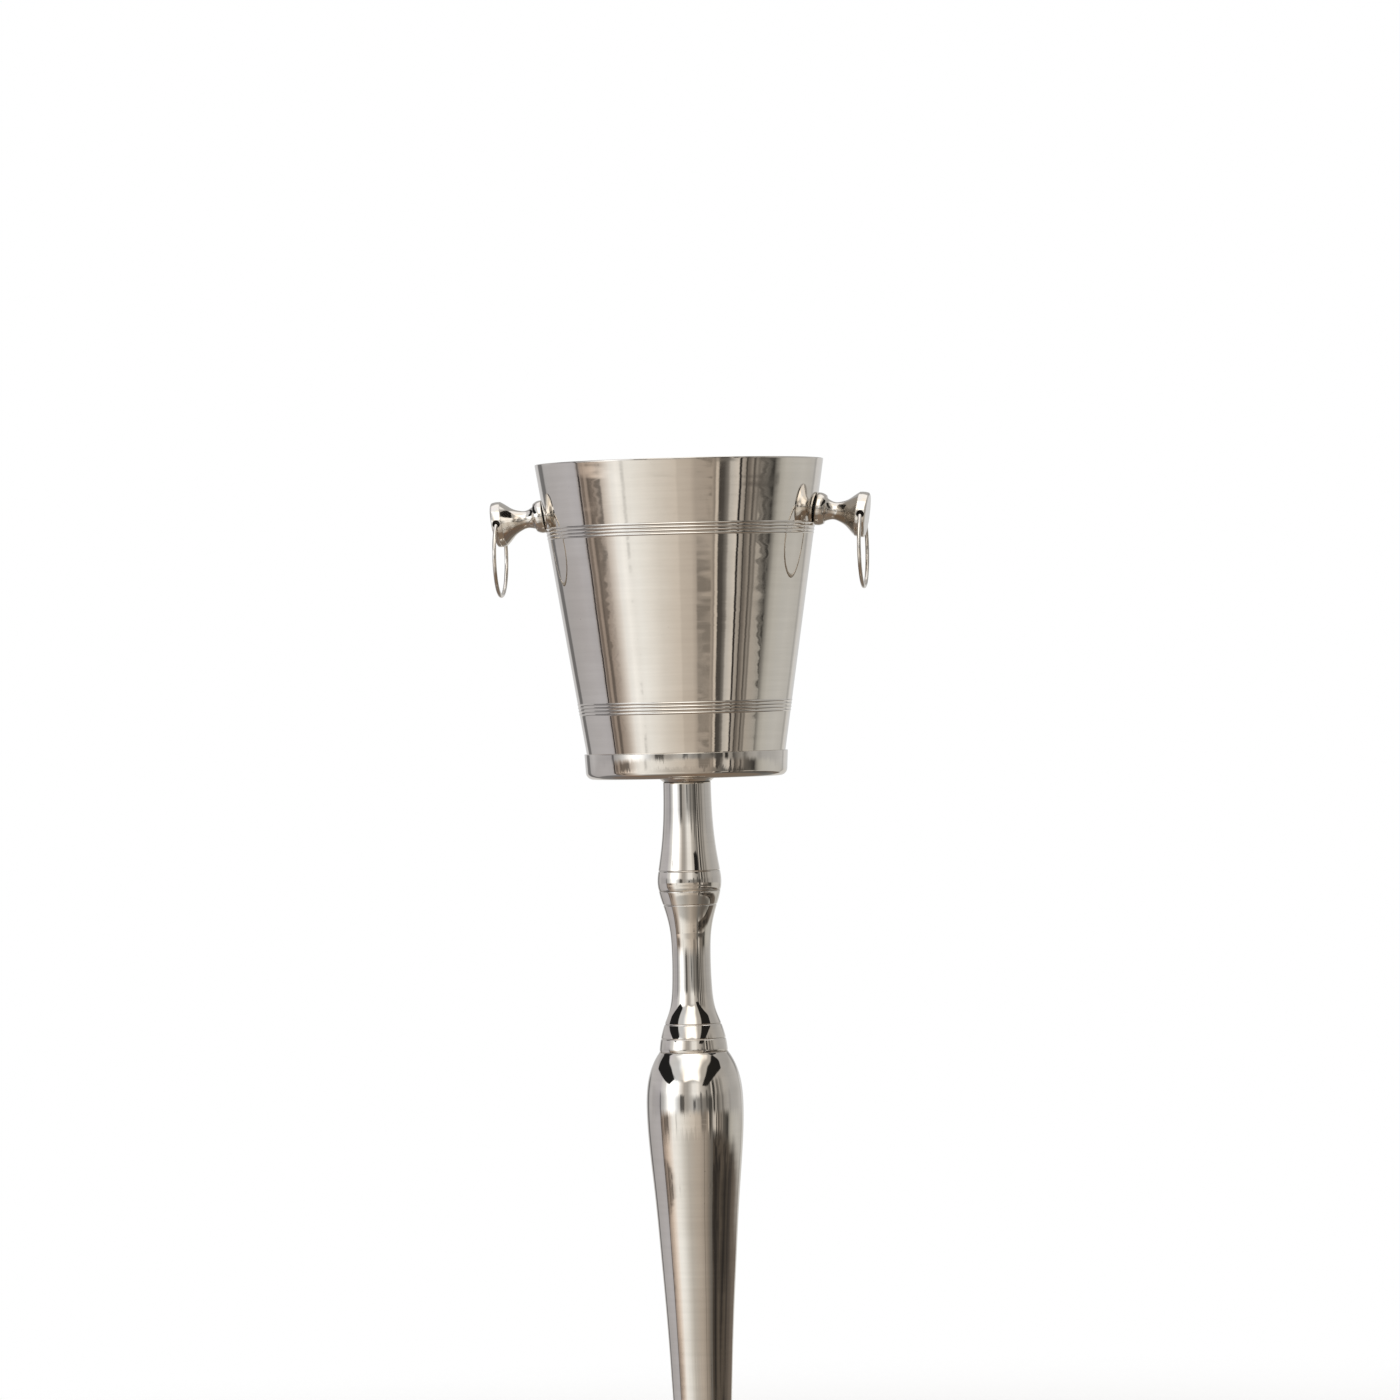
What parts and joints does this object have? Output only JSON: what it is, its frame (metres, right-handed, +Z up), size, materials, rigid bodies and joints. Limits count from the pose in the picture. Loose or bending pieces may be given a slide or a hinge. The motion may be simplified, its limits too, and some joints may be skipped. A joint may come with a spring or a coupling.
{
  "type": "champagne bucket stand",
  "caption": "Free-standing champagne bucket: a tapered metal bucket with swinging ring handles on a turned column and a weighted round foot.",
  "frame": {"origin": "on the floor under the centre of the round foot", "axes": "+Z up along the column; the two ring handles stand out along +X and -X, and each ring swings about an axis along Y"},
  "size_m": [0.3338, 0.29, 1.02],
  "materials": {
    "spun_nickel": "polished",
    "cast_nickel": "polished",
    "turned_nickel": "polished",
    "wire_nickel": "polished",
    "steel": "satin",
    "aluminium_bush": "satin",
    "black_rubber": "matte",
    "iron": "matte",
    "black_sheet": "satin"
  },
  "bodies": {
    "stand": {"bucket_shell": "spun_nickel", "bucket_base_pan": "spun_nickel", "bucket_inner_seal": "black_rubber", "bucket_outer_seal": "black_rubber", "bucket_clamp_washer": "turned_nickel", "bucket_dome_nut": "turned_nickel", "seat_collar": "turned_nickel", "collar_gasket": "black_rubber", "upper_stem": "cast_nickel", "upper_joint_bush": "aluminium_bush", "middle_stem": "cast_nickel", "middle_joint_bush": "aluminium_bush", "baluster": "cast_nickel", "lower_joint_bush": "aluminium_bush", "foot_neck": "cast_nickel", "foot_joint_bush": "aluminium_bush", "tie_rod": "steel", "foot_shell": "cast_nickel", "foot_ballast": "iron", "foot_washer": "steel", "foot_spring_washer": "steel", "foot_nut": "steel", "foot_cover": "black_sheet", "cover_screws": "steel", "floor_pad_ring": "black_rubber", "left_knob": "turned_nickel", "left_knob_screw": "steel", "left_knob_washer": "steel", "left_knob_seal": "black_rubber", "right_knob": "turned_nickel", "right_knob_screw": "steel", "right_knob_washer": "steel", "right_knob_seal": "black_rubber"},
    "left_ring": {"left_ring": "wire_nickel"},
    "right_ring": {"right_ring": "wire_nickel"}
  },
  "joints": [
    {"name": "right_ring_swing", "type": "hinge", "parent": "stand", "child": "right_ring", "pos_m": [0.15949, 0, 0.96873], "axis": [0, -1, 0], "range_deg": [-47, 210]},
    {"name": "left_ring_swing", "type": "hinge", "parent": "stand", "child": "left_ring", "pos_m": [-0.15949, 0, 0.96873], "axis": [0, 1, 0], "range_deg": [-47, 210]}
  ]
}
